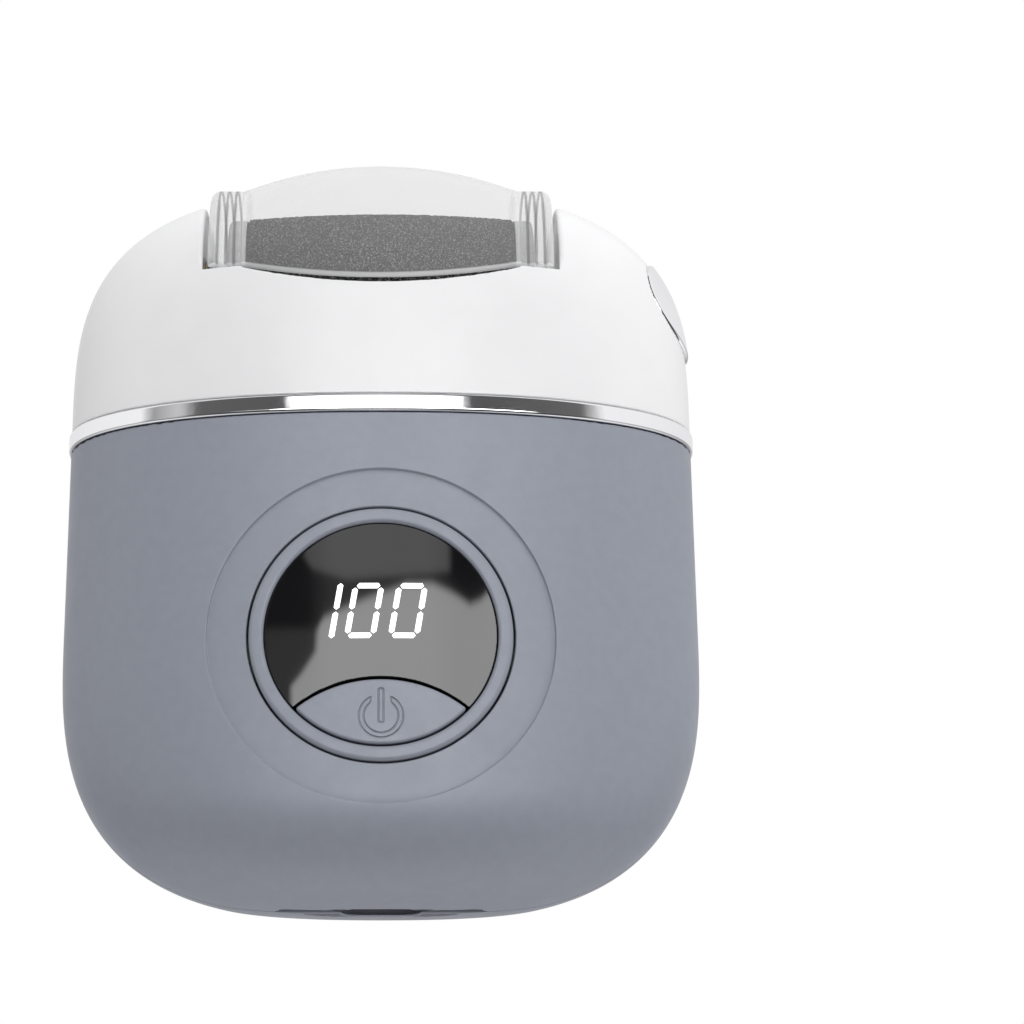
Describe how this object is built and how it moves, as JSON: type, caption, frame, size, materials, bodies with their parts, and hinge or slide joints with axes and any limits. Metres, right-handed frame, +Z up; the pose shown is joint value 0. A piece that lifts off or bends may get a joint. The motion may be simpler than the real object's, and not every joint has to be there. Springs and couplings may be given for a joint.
{
  "type": "electric callus remover",
  "caption": "Upright battery hand tool with a motor-driven abrasive roller, a clear lift-off cover, a round display and a power button.",
  "frame": {"origin": "middle of the flat base, on the surface that the tool stands on", "axes": "+Z up through the roller, the display faces -Y, +X is the side of the roller release button"},
  "size_m": [0.0756, 0.0308, 0.0937],
  "materials": {
    "grey_plastic": "fine matte moulded",
    "white_gloss": "polished",
    "chrome_trim": "mirror plated",
    "clear_plastic": "clear moulded",
    "abrasive": "mineral grit",
    "dark_plastic": "moulded",
    "cap_plastic": "moulded",
    "black_gloss": "polished",
    "lit_white": "backlit diffuser",
    "gear_plastic": "natural acetal",
    "brass": "turned",
    "steel": "plain",
    "zinc_steel": "zinc plated",
    "rotor_iron": "laminated",
    "seal_rubber": "soft",
    "foam": "closed-cell foam",
    "board_green": "solder mask",
    "chip_black": "moulded epoxy",
    "battery_foil": "laminated pouch"
  },
  "bodies": {
    "housing": {"front_shell": "grey_plastic", "rear_shell": "grey_plastic", "chrome_band": "chrome_trim", "head_shell": "white_gloss", "roller_cradle": "dark_plastic", "cradle_screws": "zinc_steel", "chassis": "dark_plastic", "chassis_screws": "zinc_steel", "spindle_bush": "brass", "shaft_seal": "seal_rubber", "compound_gear_pin": "steel", "gear_plate": "dark_plastic", "gear_plate_screws": "zinc_steel", "gear_cover": "zinc_steel", "gear_cover_screws": "zinc_steel", "motor_can": "zinc_steel", "motor_end_cap": "dark_plastic", "motor_screws": "zinc_steel", "release_spring": "steel", "display_bezel": "grey_plastic", "display_lens": "black_gloss", "lit_digits": "lit_white", "display_module": "chip_black", "power_switch": "chip_black", "main_board": "board_green", "board_chips": "chip_black", "board_screws": "zinc_steel", "battery_pack": "battery_foil", "battery_guard_board": "board_green", "battery_pad": "foam", "usb_shell": "steel", "usb_tongue": "dark_plastic", "usb_board": "board_green"},
    "roller": {"abrasive_sleeve": "abrasive", "roller_core": "dark_plastic", "drive_end_cap": "cap_plastic", "idle_end_cap": "cap_plastic", "plunger_seat": "dark_plastic", "plunger_spring": "steel", "drive_spindle": "steel", "driven_gear": "gear_plastic"},
    "idle_plunger": {"idle_pin": "steel"},
    "compound": {"compound_gear": "gear_plastic"},
    "motor_rotor": {"motor_rotor": "rotor_iron", "motor_shaft": "steel", "motor_pinion": "brass"},
    "cover": {"clear_cover": "clear_plastic"},
    "power_key": {"power_button": "grey_plastic"},
    "release_key": {"release_button": "chrome_trim"}
  },
  "joints": [
    {"name": "roller_spin", "type": "hinge", "parent": "housing", "child": "roller", "pos_m": [0, 0, 0.078], "axis": [1, 0, 0], "continuous": true},
    {"name": "compound_spin", "type": "hinge", "parent": "housing", "child": "compound", "pos_m": [0, 0, 0.0672], "axis": [1, 0, 0], "continuous": true},
    {"name": "motor_spin", "type": "hinge", "parent": "housing", "child": "motor_rotor", "pos_m": [0, 0, 0.0558], "axis": [1, 0, 0], "continuous": true},
    {"name": "cover_lift", "type": "slide", "parent": "housing", "child": "cover", "axis": [0, 0, 1], "range_m": [0, 0.03]},
    {"name": "power_press", "type": "slide", "parent": "housing", "child": "power_key", "axis": [0, 1, 0], "range_m": [0, 0.0006], "stiffness_N_per_m": 400},
    {"name": "release_press", "type": "slide", "parent": "housing", "child": "release_key", "axis": [-1, 0, 0], "range_m": [0, 0.002], "stiffness_N_per_m": 300, "deforming": ["release_spring"]},
    {"name": "plunger_slide", "type": "slide", "parent": "roller", "child": "idle_plunger", "axis": [-1, 0, 0], "range_m": [0, 0.002], "deforming": ["plunger_spring"]}
  ],
  "couplings": [
    {"joint": "compound_spin", "follows": "roller_spin", "ratio": -1.25},
    {"joint": "motor_spin", "follows": "roller_spin", "ratio": 2.7083},
    {"joint": "plunger_slide", "follows": "release_press", "ratio": 1}
  ]
}
